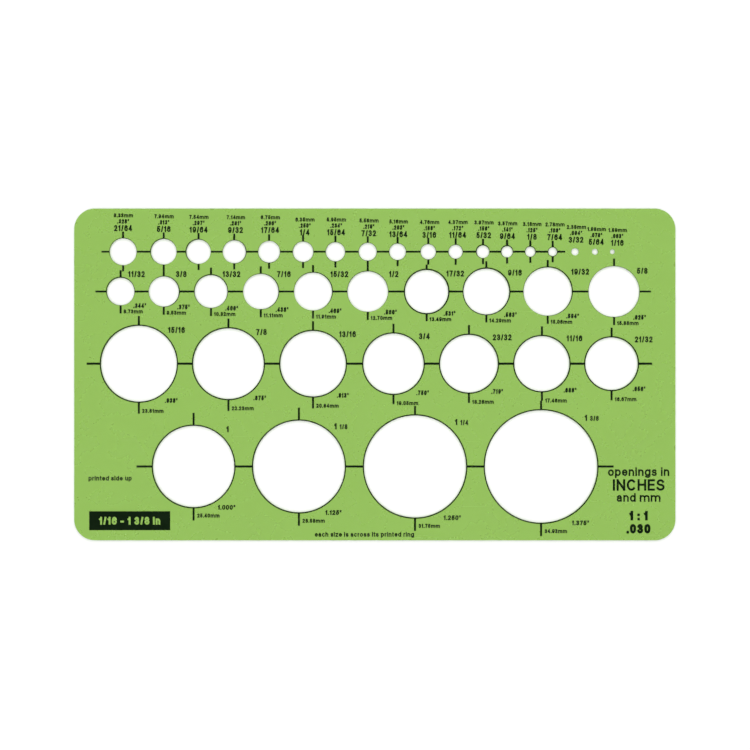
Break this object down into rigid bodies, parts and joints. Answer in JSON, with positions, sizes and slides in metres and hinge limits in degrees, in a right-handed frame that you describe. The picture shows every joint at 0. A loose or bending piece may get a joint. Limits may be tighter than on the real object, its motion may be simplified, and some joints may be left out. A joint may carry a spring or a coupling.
{
  "type": "circle template",
  "caption": "Thin rectangular green plastic drafting template with rows of graded round openings, each with a printed outline, centre line and ticks.",
  "frame": {"origin": "centre of the sheet's underside", "axes": "+X along the long side, to the right as the print reads; +Y in the sheet's plane, towards the edge beside the smallest openings; +Z out of the printed face"},
  "size_m": [0.1842, 0.1016, 0.0008],
  "materials": {
    "green_plastic": "translucent, smooth satin gloss",
    "black_ink": "matte screen-printed ink"
  },
  "bodies": {
    "root": {"template_sheet": "green_plastic", "row_1_centre_lines": "black_ink", "row_2_centre_lines": "black_ink", "row_3_centre_lines": "black_ink", "row_4_centre_lines": "black_ink", "label_block": "black_ink"}
  },
  "joints": []
}
